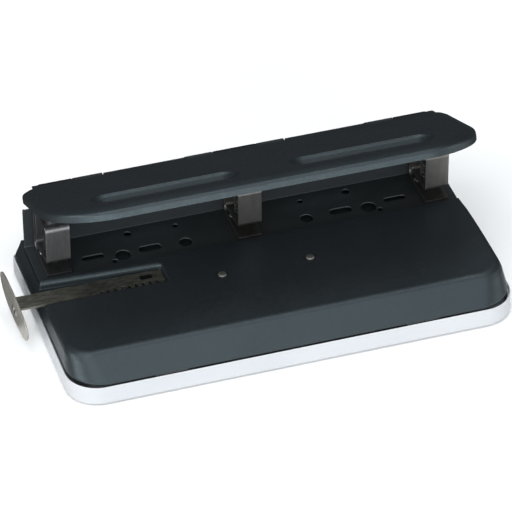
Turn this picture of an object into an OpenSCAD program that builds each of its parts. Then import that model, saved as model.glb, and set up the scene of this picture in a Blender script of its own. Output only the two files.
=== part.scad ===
// Heavy-duty three-hole paper punch: pressed-steel base on a chip tray,
// three strip-steel punch heads on an L rail, one wide lever over all three,
// and a sliding paper guide with a T stop at the left.
// Millimetres. Z = 0 is the surface it stands on, X is the long direction,
// -Y is the front where the paper goes in.

/* [Base] */
// Overall width of the chip tray
tray_w = 249.2; // [244:0.2:256]
// Height of the chip tray without its feet
tray_h = 11.4; // [10.6:0.1:11.6]
// Wall thickness of the chip tray
tray_t = 1.6; // [1.2:0.1:2]
// Height of the steel cover above the tray
cover_h = 12.1; // [11.6:0.1:12.6]
// Sheet thickness of the cover
cover_t = 1.0; // [0.8:0.1:1.2]
// Horizontal run of the sloping front wall
slope_run = 14.5; // [12:0.5:16]
// Front corner radius of the base
corner_r = 18; // [14:1:22]
// Thickness of the rubber feet that shows below the tray
foot_h = 1.0; // [0.8:0.1:1.5]

/* [Punch heads] */
// Distance from one punched hole to the next
hole_pitch = 107.95; // [106:0.05:110]
// Width of the bent strip that makes a head
strip_w = 13.6; // [13:0.2:16]
// Thickness of the strip
strip_t = 1.8; // [1.6:0.1:2]
// Radius of a punch pin
pin_r = 3.55; // [3.3:0.05:3.6]
// Radial clearance of the pin in its two guide holes
pin_clear = 0.07; // [0.03:0.01:0.1]

/* [Lever] */
// Overall width of the lever
lever_w = 243.4; // [241.6:0.2:246]
// Depth of the lever from the hinge axis to its front edge
lever_d = 82.9; // [78:0.1:86]
// Angle at which the lever rests above the level position
lever_rest = 24.5; // [23:0.5:26]
// Sheet thickness of the lever
lever_t = 1.2; // [1:0.1:1.3]
// Height of the flange round the lever
flange_h = 8.0; // [8:0.1:8.4]
// Radius of the lever's front corners
lever_corner = 36; // [30:1:40]

/* [Paper guide] */
// Width of the sliding rule
rule_w = 11.0; // [10:0.5:11]
// Thickness of the sliding rule
rule_t = 1.2; // [1:0.1:1.2]
// Pitch of the rack teeth on the rule
tooth_pitch = 3.9; // [3.8:0.05:4]
// Number of rack notches
teeth = 9; // [6:1:9]

/* [Hidden] */
$fn = 48;

// Datum of the punching gear: Y = 0 at the front edges of the dies,
// Z = 0 at the top of the rail floor they stand on.
dat_y = 23.2;
dat_z = 22 + foot_h;
gap_z = -10.3;                 // underside of the cover
floor_z = -22;                 // underside of the tray
top_z = gap_z + cover_h;       // plateau of the cover
tray_x = tray_w / 2;
cov_x = tray_x - 0.3;
front_y = -86.1;
rear_y = 39.4;
hinge_y = 28.1;
hinge_z = 37.4;
pin_y = hinge_y - 15;
knuckle_r = 3.6;
press_r = 2.5;
rule_front = -9.2 - rule_w;
rule_top = -1.4;
trough_front = -24.4;

module datum() { translate([0, dat_y, dat_z]) children(); }
module yz(x0, x1) { translate([x0, 0, 0]) rotate([90, 0, 90]) linear_extrude(x1 - x0) children(); }
module both() { children(); mirror([1, 0, 0]) children(); }
module heads() { for (k = [-1:1]) translate([k * hole_pitch, 0, 0]) children(); }

function arcp(cx, cy, r, a0, a1, n) = [for (i = [0:n]) let(a = a0 + (a1 - a0) * i / n) [cx + r * cos(a), cy + r * sin(a)]];
// Rounded plan outline: half width x, from y0 (front) to y1 (rear)
function plan(x, y0, y1, rf, rr, n = 7) = concat(
    arcp(x - rr, y1 - rr, rr, 0, 90, n), arcp(-x + rr, y1 - rr, rr, 90, 180, n),
    arcp(-x + rf, y0 + rf, rf, 180, 270, n), arcp(x - rf, y0 + rf, rf, 270, 360, n));
module slab(z, h, x, y0, y1, rf, rr, n = 7) { translate([0, 0, z]) linear_extrude(h) polygon(plan(x, y0, y1, rf, rr, n)); }

// Bent strip: way points [y, z, bend radius] along the middle of the sheet
function unit(v) = v / norm(v);
function lft(v) = [-v[1], v[0]];
function rot2(v, a) = [v[0] * cos(a) - v[1] * sin(a), v[0] * sin(a) + v[1] * cos(a)];
function xy(p) = [p[0], p[1]];
function bend(a, b, c, r, n) = let(u = unit(b - a), v = unit(c - b),
    t = atan2(u[0] * v[1] - u[1] * v[0], u * v), s = sign(t), q = b - u * (r * tan(abs(t) / 2)) + lft(u) * (s * r))
    [for (k = [0:n]) q + rot2(lft(u) * (-s * r), t * k / n)];
function way(W, n = 6) = concat([xy(W[0])],
    [for (i = [1:len(W) - 2]) each bend(xy(W[i - 1]), xy(W[i]), xy(W[i + 1]), W[i][2], n)], [xy(W[len(W) - 1])]);
function side(C, d) = [for (i = [0:len(C) - 1])
    let(a = i == 0 ? unit(C[1] - C[0]) : unit(C[i] - C[i - 1]), b = i == len(C) - 1 ? a : unit(C[i + 1] - C[i]), m = unit(a + b))
    C[i] + lft(m) * d / (m * a)];
function strip(W, t, n = 6) = let(C = way(W, n), p = side(C, t / 2), q = side(C, -t / 2))
    concat(p, [for (i = [len(q) - 1:-1:0]) q[i]]);

// ---------------------------------------------------------------- chip tray
module base_tray() {
    color([0.86, 0.90, 0.92]) datum() difference() {
        union() {
            difference() {
                slab(floor_z, tray_h, tray_x, front_y - 0.3, rear_y + 0.6, corner_r + 0.3, 3.6);
                slab(floor_z + tray_t, tray_h, tray_x - tray_t, front_y - 0.3 + tray_t, rear_y + 0.6 - tray_t, corner_r + 0.3 - tray_t, 2);
            }
            // stiffening beads across the floor
            for (x = [-90, -45, 45, 90]) translate([x - 1, -78, floor_z + tray_t - 0.1]) cube([2, 108, 1.3]);
        }
        // pockets for the feet
        feet_at(floor_z - 0.1, 7.15, 0.7);
    }
}
module feet_at(z, r, h) {
    for (x = [-106, 106], y = [-71, 27]) translate([x, y, z]) cylinder(r = r, h = h);
    translate([0, -dat_y, z]) cylinder(r = r, h = h);
}
module rubber_feet() {
    color([0.12, 0.12, 0.12]) datum() {
        feet_at(floor_z - foot_h, 6.9, foot_h + 0.55);
    }
}
module tray_catch() {
    color([0.6, 0.6, 0.6]) datum() for (x = [-70, 70])
        yz(x - 9, x + 9) polygon(strip([[-84.4, -19.8], [-84.4, -11.6, 1], [-81.8, -8.8, 1], [-79.8, -11]], 0.6, 4));
}
hx = 41.75;
hz = -10.45;
module tray_hinge_lower() {
    color([0.7, 0.72, 0.74]) datum() both() difference() {
        union() {
            yz(66.3, 83.7) { translate([40.05, -17.5]) square([0.9, 6.4]); translate([hx, hz]) circle(r = 1.6); }
        }
        yz(60, 90) translate([hx, hz]) circle(r = 0.85);
    }
}
module tray_hinge_upper() {
    color([0.2, 0.21, 0.22]) datum() both() difference() {
        union() {
            yz(60, 90) translate([rear_y + 0.05, -8.5]) square([0.9, 5]);
            for (x = [60, 84]) yz(x, x + 6) { translate([rear_y + 0.05, -10]) square([0.9, 3]); translate([hx, hz]) circle(r = 1.6); }
        }
        yz(59, 91) translate([hx, hz]) circle(r = 0.85);
    }
}
module tray_hinge_pins() {
    color([0.7, 0.7, 0.7]) datum() both() yz(59.4, 90.6) translate([hx, hz]) circle(r = 0.8);
}

// ---------------------------------------------------------------- cover
module cover_outer() {
    hull() {
        slab(gap_z, 1.3, cov_x, front_y, rear_y, corner_r, 4);
        slab(top_z - 2.4, 0.01, cov_x - 2.2, front_y + slope_run - 2.4, rear_y - 0.3, corner_r - 2, 4);
        slab(top_z - 0.8, 0.01, cov_x - 3.2, front_y + slope_run + 0.2, rear_y - 0.9, corner_r - 3, 4);
        slab(top_z - 0.01, 0.01, cov_x - 4.8, front_y + slope_run + 2.6, rear_y - 2.2, corner_r - 5, 4);
    }
}
module cover_inner() {
    c = cover_t;
    difference() {
        hull() {
            slab(gap_z - 1, 2.0, cov_x - c, front_y + c, rear_y - c, corner_r - c, 3);
            slab(top_z - 2.4 - c, 0.01, cov_x - 2.4 - c, front_y + slope_run - 2.2 + c, rear_y - 0.5 - c, corner_r - 3, 3);
            slab(top_z - c - 0.01, 0.01, cov_x - 5.2, front_y + slope_run + 3, rear_y - 3, corner_r - 5, 3);
        }
        // rear shelf that carries the rail
        translate([-140, -2 - c, -1.8 - c]) cube([280, 60, 10]);
        // trough for the paper guide
        translate([0, 0, -2.8 - c]) linear_extrude(10)
            polygon([[-140, trough_front - c], [-54.2, trough_front - c], [-52.4, trough_front + 0.8], [-52.4, -9.2], [-54.2, -8.4 + c], [-140, -4 + c]]);
    }
}
module base_cover() {
    color([0.15, 0.165, 0.18]) datum() difference() {
        cover_outer();
        cover_inner();
        translate([-140, -2, -1.8]) cube([280, 60, 10]);
        translate([0, 0, -2.8]) linear_extrude(10)
            polygon([[-140, trough_front], [-54.6, trough_front], [-53.4, trough_front + 1.2], [-53.4, -9.6], [-54.6, -8.4], [-140, -4]]);
        // slot for the guide key, window for the detent
        translate([-118.5, -15.1, -5]) cube([60, 3.2, 4]);
        translate([-85, trough_front - 1.6, -2.6]) cube([10, 2.4, 2.8]);
        both() translate([24.9, -28, -5]) cylinder(r = 2.0, h = 10);
        // openings under the dies, where the chips fall through
        heads() translate([0, pin_y, -5]) cylinder(r = 5, h = 5);
        heads() both() translate([3.9, 20.6, -5]) cylinder(r = 1.45, h = 5);
    }
}
module cover_brace() {
    color([0.45, 0.45, 0.45]) datum() difference() {
        yz(-46, 46) polygon(strip([[-36, -8], [-36, 0.15, 1.5], [-20, 0.15, 1.5], [-20, -8]], 1.1, 4));
        both() translate([24.9, -28, -5]) cylinder(r = 2.0, h = 10);
    }
}
module cover_rivets() {
    color([0.7, 0.69, 0.66]) datum() both() translate([24.9, -28, 0]) {
        translate([0, 0, -1.0]) cylinder(r = 1.9, h = 3);
        translate([0, 0, top_z + 0.02]) cylinder(r1 = 2.4, r2 = 2.1, h = 0.35);
        translate([0, 0, top_z + 0.37]) cylinder(r1 = 2.1, r2 = 1.0, h = 0.35);
        translate([0, 0, -1.2]) cylinder(r = 2.6, h = 0.78);
    }
}

// ---------------------------------------------------------------- rail
module rear_rail() {
    color([0.14, 0.15, 0.165]) datum() difference() {
        union() {
            yz(-120.3, 120.3) polygon(strip([[-1.5, -0.9], [30.85, -0.9, 2.2], [30.85, 25.2]], 1.7, 6));
            both() for (x = [[12.7, 28.2], [75, 91.5]]) yz(x[0], x[1]) {
                translate([hinge_y, hinge_z]) circle(r = knuckle_r);
                translate([30.0, 24]) square([1.7, hinge_z - 24]);
            }
        }
        yz(-125, 125) translate([hinge_y, hinge_z]) circle(r = 2.02);
        heads() translate([0, pin_y, -3]) cylinder(r = 4.4, h = 5);
        heads() both() translate([3.9, 20.6, -3]) cylinder(r = 1.45, h = 5);
        // spare head positions for other hole patterns
        both() {
            translate([0, 0, -3]) linear_extrude(5) {
                translate([82.2, 8.8]) square([9, 3.4]);
                translate([82.2, 10.5]) circle(r = 1.7);
                translate([91.2, 10.5]) circle(r = 1.7);
                translate([51, 6.4]) square([7.6, 5]);
                translate([51, 8.9]) circle(r = 2.5);
                translate([58.6, 8.9]) circle(r = 2.5);
            }
            translate([76, 3.4, -3]) cylinder(r = 1.5, h = 5);
            translate([70.5, 7.3, -3]) cylinder(r = 4.2, h = 5);
            translate([36, 23.8, -3]) cylinder(r = 1.4, h = 5);
            translate([34.7, 8, -3]) cylinder(r = 3.5, h = 5);
            translate([63, 24.6, -3]) cylinder(r = 2, h = 5);
        }
    }
}
module head_rivets() {
    color([0.6, 0.6, 0.6]) datum() heads() both() translate([3.9, 20.6, 0]) {
        translate([0, 0, -2.9]) cylinder(r = 1.4, h = 4.8);
        translate([0, 0, strip_t + 0.02]) cylinder(r1 = 2.2, r2 = 1.6, h = 0.6);
        translate([0, 0, -3.5]) cylinder(r = 2.2, h = 0.66);
    }
}

// ---------------------------------------------------------------- punch heads
module head_bracket(k, tint) {
    h = strip_t / 2;
    color(tint) datum() translate([k * hole_pitch, 0, 0]) difference() {
        yz(-strip_w / 2, strip_w / 2) polygon(strip([[0, h], [28, h, 4.5], [28, 32 - h, 3.2], [1 + h, 32 - h, 2.6],
            [1 + h, 8.6, 1.7], [24, 6.5, 2.6], [24, 29.2]], strip_t, 7));
        // die in the foot, guide holes in the jaw and the top
        translate([0, pin_y, -1]) cylinder(r = pin_r + 0.1, h = 4);
        translate([0, pin_y, 4]) cylinder(r = pin_r + pin_clear, h = 30);
        both() translate([3.9, 20.6, -1]) cylinder(r = 1.45, h = 4);
    }
}
module left_head_bracket() { head_bracket(-1, [0.36, 0.36, 0.38]); }
module middle_head_bracket() { head_bracket(0, [0.42, 0.41, 0.40]); }
module right_head_bracket() { head_bracket(1, [0.44, 0.43, 0.42]); }

module punch_pin(k) {
    color([0.66, 0.66, 0.66]) datum() translate([k * hole_pitch, pin_y, 0]) difference() {
        union() {
            translate([0, 0, 6.9]) cylinder(r = pin_r, h = 30.2);
            translate([0, 0, 37.1]) cylinder(r1 = pin_r, r2 = pin_r - 0.8, h = 0.8);
        }
        // groove for the clip
        translate([0, 0, 28.35]) difference() { cylinder(r = 6, h = 1.3); translate([0, 0, -1]) cylinder(r = 2.8, h = 4); }
        // hollow-ground cutting end
        translate([-6, 0, 6.9]) rotate([45, 0, 0]) translate([0, -0.9, -0.9]) cube([12, 1.8, 1.8]);
    }
}
module left_punch_pin() { punch_pin(-1); }
module middle_punch_pin() { punch_pin(0); }
module right_punch_pin() { punch_pin(1); }

// Helical spring: closed end coils, open between
sp_turns = 7;
sp_steps = 12;
function sp_z(u) = 9.7 + 18.0 * (u < 0.12 ? u * 0.5 : u > 0.88 ? 1 - (1 - u) * 0.5 : 0.06 + (u - 0.12) * 0.88 / 0.76);
module return_spring(k) {
    n = sp_turns * sp_steps; m = 6; rc = 4.6; rw = 0.5;
    pts = [for (i = [0:n], j = [0:m - 1]) let(a = 360 * i / sp_steps, f = 360 * j / m, rr = rc + rw * cos(f))
        [rr * cos(a), rr * sin(a), sp_z(i / n) + rw * sin(f)]];
    faces = concat([[for (j = [0:m - 1]) j]], [[for (j = [m - 1:-1:0]) n * m + j]],
        [for (i = [0:n - 1], j = [0:m - 1]) let(a = i * m + j, b = i * m + (j + 1) % m) [a, a + m, b + m]],
        [for (i = [0:n - 1], j = [0:m - 1]) let(a = i * m + j, b = i * m + (j + 1) % m) [a, b + m, b]]);
    color([0.5, 0.5, 0.52]) datum() translate([k * hole_pitch, pin_y, 0]) polyhedron(pts, faces);
}
module left_return_spring() { return_spring(-1); }
module middle_return_spring() { return_spring(0); }
module right_return_spring() { return_spring(1); }

module pin_clip(k) {
    color([0.3, 0.3, 0.32]) datum() translate([k * hole_pitch, pin_y, 28.4]) difference() {
        cylinder(r = 5.2, h = 1.2);
        translate([0, 0, -1]) cylinder(r = 2.86, h = 4);
        translate([-2.4, 0, -1]) cube([4.8, 8, 4]);
    }
}
module left_pin_clip() { pin_clip(-1); }
module middle_pin_clip() { pin_clip(0); }
module right_pin_clip() { pin_clip(1); }

// ---------------------------------------------------------------- lever
module raised() {
    datum() translate([0, hinge_y, hinge_z]) rotate([-lever_rest, 0, 0]) children();
}
module hinge_rod() {
    color([0.62, 0.62, 0.62]) datum() {
        yz(-111.4, 111.4) translate([hinge_y, hinge_z]) circle(r = 2.0);
        both() yz(110.9, 112.1) translate([hinge_y, hinge_z]) circle(r = 2.3);
    }
}
// Drawn level about the hinge axis, then raised to its rest angle
module lever_handle() {
    W = lever_w / 2; F = -lever_d; R = lever_corner; T = knuckle_r; t = lever_t;
    color([0.15, 0.16, 0.175]) raised() difference() {
        union() {
            difference() {
                hull() {
                    slab(T - flange_h, 0.01, W, F, -0.9, R, 7, 12);
                    slab(T - 2.8, 0.01, W, F, -0.9, R, 7, 12);
                    slab(T - 1.3, 0.01, W - 0.6, F + 0.6, -0.9, R - 0.6, 7, 12);
                    slab(T - 0.4, 0.01, W - 1.7, F + 1.7, -0.9, R - 1.7, 7, 12);
                    slab(T - 0.01, 0.01, W - 3.2, F + 3.2, -0.9, R - 3.2, 7, 12);
                }
                hull() {
                    slab(T - flange_h - 1, 0.01, W - t, F + t, 12, R - t, 7, 12);
                    slab(T - 3.2, 0.01, W - t, F + t, 12, R - t, 7, 12);
                    slab(T - t - 0.01, 0.01, W - 3.2, F + 3.2, 12, R - 3.2, 7, 12);
                }
                // clearance round the rail knuckles
                both() for (x = [[12.3, 28.6], [74.6, 91.9]]) translate([x[0], -4.4, -4]) cube([x[1] - x[0], 10, 12]);
                // pressed palm grooves
                both() translate([0, 0, T - 0.6]) {
                    translate([21, -57 - 5.5, 0]) cube([67, 11, 2]);
                    translate([21, -57, 0]) cylinder(r = 5.5, h = 2);
                    translate([88, -57, 0]) cylinder(r = 5.5, h = 2);
                }
            }
            // curled hinge knuckles
            for (x = [[-110.5, -92.2], [-12, 12], [92.2, 110.5]]) yz(x[0], x[1]) {
                circle(r = T);
                translate([-2.6, T - t]) square([2.6, t]);
            }
        }
        yz(-125, 125) circle(r = 2.06);
    }
}
// Rounded noses under the lever that push the pins down
module pin_pressers() {
    c = rotnose();
    color([0.55, 0.55, 0.55]) raised() heads() yz(-5, 5) {
        translate(c) circle(r = press_r);
        translate([c[0] - press_r, c[1]]) square([2 * press_r, knuckle_r - lever_t - 0.03 - c[1]]);
    }
}
function rotnose() = rot2([pin_y - hinge_y, 3.2], lever_rest);

// ---------------------------------------------------------------- paper guide
function notch(i) = let(x = -91.2 + i * tooth_pitch)
    [[x, rule_front], [x + 0.4, rule_front + 2.3], [x + 1.7, rule_front + 2.3], [x + 2.1, rule_front]];
module guide_rule() {
    color([0.36, 0.34, 0.31]) datum() difference() {
        union() {
            translate([0, 0, rule_top - rule_t]) linear_extrude(rule_t) difference() {
                polygon(concat([[-135.9, rule_front]], [for (i = [0:teeth - 1]) each notch(i)],
                    [[-54.3, rule_front], [-54.3, -9.2], [-135.9, -9.2]]));
                translate([-66.6, -15.0]) square([6.2, 3.0]);
            }
            translate([-136.2, -18.7, -9]) cube([1.2, 8, 7.1]);
        }
        for (y = [-16.9, -12.5]) yz(-140, -130) translate([y, -5.8]) circle(r = 1.05);
    }
}
module guide_stop() {
    color([0.52, 0.52, 0.50]) datum() difference() {
        yz(-137.5, -136.25) polygon([[15.6, -2.2], [13.4, -0.3], [9, 1.2], [0, 2.3], [-10, 2.6], [-20, 2.4], [-30, 1.8], [-36, 0.6], [-39.4, -1.6], [-40.6, -4.8],
            [-39.2, -8.2], [-35.4, -10.9], [-29, -12.7], [-20, -13.7], [-10, -14.2], [-2, -14.1], [5, -13.1], [10.6, -11.1], [14.4, -8.1], [16.2, -4.8]]);
        for (y = [-16.9, -12.5]) yz(-140, -130) translate([y, -5.8]) circle(r = 1.05);
    }
}
module guide_rivets() {
    color([0.6, 0.6, 0.58]) datum() for (y = [-16.9, -12.5]) {
        yz(-137.9, -134.6) translate([y, -5.8]) circle(r = 1.0);
        yz(-138.1, -137.52) translate([y, -5.8]) circle(r = 1.8);
        yz(-134.98, -134.4) translate([y, -5.8]) circle(r = 1.6);
    }
}
module guide_key() {
    color([0.2, 0.2, 0.2]) datum() {
        translate([-66.5, -14.9, -4.6]) cube([6.0, 2.8, 3.15]);
        translate([-68, -17, -4.9]) cube([9, 7, 0.8]);
    }
}
module guide_detent() {
    color([0.6, 0.6, 0.6]) datum() union() {
        translate([0, 0, -2.4]) linear_extrude(2.4)
            polygon([[-108, -26.4], [-84.2, -26.4], [-81.2, -21.6], [-80, -20.8], [-78.8, -21.6], [-75.8, -26.4], [-68, -26.4], [-68, -27.0],
                [-76.2, -27.0], [-79.2, -22.3], [-80.8, -22.3], [-83.8, -27.0], [-108, -27.0]]);
        // foot that hangs it under the cover
        translate([-108, -27.4, -2.4]) cube([7, 1.4, 3.19]);
    }
}

base_tray();
rubber_feet();
tray_catch();
tray_hinge_lower();
tray_hinge_upper();
tray_hinge_pins();
base_cover();
cover_brace();
cover_rivets();
rear_rail();
head_rivets();
left_head_bracket();
middle_head_bracket();
right_head_bracket();
left_punch_pin();
middle_punch_pin();
right_punch_pin();
left_return_spring();
middle_return_spring();
right_return_spring();
left_pin_clip();
middle_pin_clip();
right_pin_clip();
hinge_rod();
lever_handle();
pin_pressers();
guide_rule();
guide_stop();
guide_rivets();
guide_key();
guide_detent();
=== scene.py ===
import math

import bmesh
import bpy
import numpy as np
from mathutils import Matrix, Vector
from mathutils.geometry import delaunay_2d_cdt


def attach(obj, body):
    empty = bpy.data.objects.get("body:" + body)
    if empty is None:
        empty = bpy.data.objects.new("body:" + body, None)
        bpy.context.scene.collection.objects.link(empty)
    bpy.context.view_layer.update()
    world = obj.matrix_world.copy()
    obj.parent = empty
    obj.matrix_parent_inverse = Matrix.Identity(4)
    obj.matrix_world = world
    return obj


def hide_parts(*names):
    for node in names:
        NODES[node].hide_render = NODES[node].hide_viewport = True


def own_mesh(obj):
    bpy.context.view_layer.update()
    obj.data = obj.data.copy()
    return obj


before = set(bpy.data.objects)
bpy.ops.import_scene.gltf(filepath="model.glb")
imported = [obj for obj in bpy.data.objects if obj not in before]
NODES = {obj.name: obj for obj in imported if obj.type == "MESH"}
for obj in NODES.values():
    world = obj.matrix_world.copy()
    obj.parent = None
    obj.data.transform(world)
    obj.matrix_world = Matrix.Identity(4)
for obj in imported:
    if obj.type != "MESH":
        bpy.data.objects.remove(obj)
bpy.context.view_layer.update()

# All shapes below are in millimetres from the punching gear's datum: X to the right,
# Y = 0 at the front edges of the dies, Z = 0 at the top of the rail floor.
OFF = np.array([0.0, 23.2, 23.0])
PITCH = 107.95
HY, HZ = 28.1, 37.4          # hinge axis
RAISE = math.radians(-24.5)  # the lever's rest angle
PIN_Y = HY - 15.0
TOP = 1.8                    # plateau of the cover
BOT = -9.9                   # bottom edge of the cover

# ------------------------------------------------------------------ mesh tools


def raised(V):
    V = np.asarray(V, float)
    c, s = math.cos(RAISE), math.sin(RAISE)
    out = V.copy()
    out[:, 1] = V[:, 1] * c - V[:, 2] * s + HY
    out[:, 2] = V[:, 1] * s + V[:, 2] * c + HZ
    return out


def smooth(o, angle=38, weighted=True):
    me = o.data
    me.polygons.foreach_set("use_smooth", [True] * len(me.polygons))
    me.set_sharp_from_angle(angle=math.radians(angle))
    if weighted:
        m = o.modifiers.new("even", "WEIGHTED_NORMAL")
        m.mode = "FACE_AREA"
        m.weight = 60
        m.keep_sharp = True
    me.update()


def put(name, V, F, mat, body, slot, reps=(), angle=38, weighted=True, fix=True):
    V = (np.asarray(V, float) + OFF) * 0.001
    me = bpy.data.meshes.new(name)
    me.from_pydata([tuple(v) for v in V], [], [list(map(int, f)) for f in F])
    me.update()
    o = bpy.data.objects.new(name, me)
    bpy.context.scene.collection.objects.link(o)
    bm = bmesh.new()
    bm.from_mesh(me)
    bmesh.ops.remove_doubles(bm, verts=bm.verts, dist=2e-7)
    if fix:
        bmesh.ops.recalc_face_normals(bm, faces=bm.faces)
    bm.to_mesh(me)
    bm.free()
    me.materials.append(mat)
    smooth(o, angle, weighted)
    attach(o, body)
    if reps:
        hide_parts(*reps)
    return o


def merge(*parts):
    V, F, n = [], [], 0
    for v, f in parts:
        v = np.asarray(v, float).reshape(-1, 3)
        V.append(v)
        F += [[i + n for i in q] for q in f]
        n += len(v)
    return np.vstack(V), F


def moved(part, d):
    return np.asarray(part[0], float) + np.array(d, float), part[1]


def mirrored(part):
    V = np.asarray(part[0], float).copy()
    V[:, 0] *= -1
    return V, [list(reversed(f)) for f in part[1]]


def offset(P, d):
    """Closed outline P (counter-clockwise) moved inwards by d."""
    P = np.asarray(P, float)
    a = P - np.roll(P, 1, 0)
    b = np.roll(P, -1, 0) - P
    a /= np.maximum(np.linalg.norm(a, axis=1), 1e-9)[:, None]
    b /= np.maximum(np.linalg.norm(b, axis=1), 1e-9)[:, None]
    na = np.stack([-a[:, 1], a[:, 0]], 1)
    nb = np.stack([-b[:, 1], b[:, 0]], 1)
    m = na + nb
    m /= np.maximum(np.linalg.norm(m, axis=1), 1e-9)[:, None]
    k = np.maximum((m * na).sum(1), 0.35)
    return P + m * (d / k)[:, None]


def inside(poly, pts):
    poly = np.asarray(poly, float)
    x, y = pts[:, 0], pts[:, 1]
    r = np.zeros(len(pts), bool)
    j = len(poly) - 1
    for i in range(len(poly)):
        xi, yi = poly[i]
        xj, yj = poly[j]
        if yi != yj:
            r ^= ((yi > y) != (yj > y)) & (x < (xj - xi) * (y - yi) / (yj - yi) + xi)
        j = i
    return r


def triangulate(P, loops, holes, outer, lines=()):
    """Triangles over points P with these closed loops and open lines as edges, inside outer and outside holes."""
    E = []
    for L in loops:
        E += [(L[i], L[(i + 1) % len(L)]) for i in range(len(L))]
    for L in lines:
        E += [(L[i], L[i + 1]) for i in range(len(L) - 1)]
    res = delaunay_2d_cdt([Vector((float(p[0]), float(p[1]))) for p in P], E, [], 0, 1e-6, True)
    V2, faces, orig = res[0], res[2], res[3]
    F = np.array([f for f in faces if len(f) == 3])
    Q = np.array([(v[0], v[1]) for v in V2])
    C = Q[F].mean(1)
    keep = inside([P[i] for i in outer], C)
    for h in holes:
        keep &= ~inside([P[i] for i in h], C)
    back = [o[0] if o else -1 for o in orig]
    out = []
    for f in F[keep]:
        t = [back[i] for i in f]
        if -1 in t:
            continue
        a, b, c = (np.asarray(P[i]) for i in t)
        if (b[0] - a[0]) * (c[1] - a[1]) - (b[1] - a[1]) * (c[0] - a[0]) < 0:
            t.reverse()
        out.append(t)
    return out


def slab3(outline, w0, w1, bev=0.2, holes=(), axis="z", steps=3):
    """A flat plate: outline in the plane across axis, from w0 to w1, with rounded edges."""
    low = [(w0 + bev - bev * math.cos(math.pi / 2 * k / steps), bev - bev * math.sin(math.pi / 2 * k / steps)) for k in range(steps + 1)]
    high = [(w0 + w1 - w, i) for w, i in reversed(low)]
    levels = low + high
    V, F = [], []
    rings = []
    for P, sign in [(outline, 1)] + [(h, -1) for h in holes]:
        n = len(P)
        first = len(V)
        for w, i in levels:
            Q = offset(P, sign * i)
            V += [(q[0], q[1], w) for q in Q]
        for k in range(len(levels) - 1):
            for i in range(n):
                j = (i + 1) % n
                q = [first + k * n + i, first + k * n + j, first + (k + 1) * n + j, first + (k + 1) * n + i]
                F.append(q if sign > 0 else q[::-1])
        rings.append((first, n))
    for k, up in ((0, False), (len(levels) - 1, True)):
        idx = [[first + k * n + i for i in range(n)] for first, n in rings]
        if not holes:
            F.append(idx[0] if up else idx[0][::-1])
        else:
            flat = sum(idx, [])
            loc = {g: i for i, g in enumerate(flat)}
            P2 = [V[g][:2] for g in flat]
            T = triangulate(P2, [[loc[g] for g in L] for L in idx], [[loc[g] for g in L] for L in idx[1:]], [loc[g] for g in idx[0]])
            F += [[flat[i] for i in (t if up else t[::-1])] for t in T]
    V = np.array(V, float)
    if axis == "x":
        V = V[:, [2, 0, 1]]
    elif axis == "y":
        V = V[:, [1, 2, 0]]
    return V, F


def revolve(prof, seg=48, axis="z", closed=False):
    """prof: points (r, w) from one pole to the other, or a closed ring if closed."""
    V, F = [], []
    n = len(prof)
    for k in range(seg):
        a = 2 * math.pi * k / seg
        V += [(r * math.cos(a), r * math.sin(a), w) for r, w in prof]
    for k in range(seg):
        m = (k + 1) % seg
        for i in range(n if closed else n - 1):
            j = (i + 1) % n
            F.append([k * n + i, m * n + i, m * n + j, k * n + j])
    if not closed:
        if prof[0][0] > 1e-6:
            F.append([k * n for k in range(seg)][::-1])
        if prof[-1][0] > 1e-6:
            F.append([k * n + n - 1 for k in range(seg)])
    V = np.array(V, float)
    if axis == "x":
        V = V[:, [2, 0, 1]]
    elif axis == "y":
        V = V[:, [1, 2, 0]]
    return V, [f for f in F if len(set(f)) > 2]


def thicken(V, F, t):
    """Closed sheet: the faces given are its outer side."""
    V = np.asarray(V, float)
    N = np.zeros_like(V)
    for f in F:
        p = V[f]
        n = np.zeros(3)
        for i in range(1, len(f) - 1):
            n += np.cross(p[i] - p[0], p[i + 1] - p[0])
        for i in range(len(f)):  # weighted by angle
            u, v = p[(i + 1) % len(f)] - p[i], p[i - 1] - p[i]
            lu, lv_ = np.linalg.norm(u), np.linalg.norm(v)
            if lu < 1e-9 or lv_ < 1e-9 or np.linalg.norm(n) < 1e-12:
                continue
            ang = math.acos(max(-1, min(1, float(u @ v) / (lu * lv_))))
            N[f[i]] += n / np.linalg.norm(n) * ang
    N /= np.maximum(np.linalg.norm(N, axis=1), 1e-9)[:, None]
    n = len(V)
    out = [list(f) for f in F] + [[i + n for i in reversed(f)] for f in F]
    edges = {}
    for f in F:
        for i in range(len(f)):
            edges[(f[i], f[(i + 1) % len(f)])] = 1
    for (a, b) in edges:
        if (b, a) not in edges:
            out.append([b, a, a + n, b + n])
    return np.vstack([V, V - N * t]), out


def cut(o, part, mat=None):
    """Takes part (vertices, faces in mm) out of object o."""
    V, F = part
    V = (np.asarray(V, float) + OFF) * 0.001
    me = bpy.data.meshes.new("tool")
    me.from_pydata([tuple(v) for v in V], [], F)
    me.update()
    t = bpy.data.objects.new("tool", me)
    bpy.context.scene.collection.objects.link(t)
    bm = bmesh.new()
    bm.from_mesh(me)
    bmesh.ops.recalc_face_normals(bm, faces=bm.faces)
    bm.to_mesh(me)
    bm.free()
    for m in list(o.modifiers):
        o.modifiers.remove(m)
    b = o.modifiers.new("cut", "BOOLEAN")
    b.operation = "DIFFERENCE"
    b.solver = "EXACT"
    b.object = t
    dg = bpy.context.evaluated_depsgraph_get()
    new = bpy.data.meshes.new_from_object(o.evaluated_get(dg))
    o.modifiers.remove(b)
    old = o.data
    o.data = new
    bpy.data.meshes.remove(old)
    bpy.data.objects.remove(t)
    bpy.data.meshes.remove(me)
    smooth(o, 32, True)


def arc(cx, cy, r, a0, a1, n):
    return [(cx + r * math.cos(math.radians(a0 + (a1 - a0) * i / n)), cy + r * math.sin(math.radians(a0 + (a1 - a0) * i / n))) for i in range(n + 1)]


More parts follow.
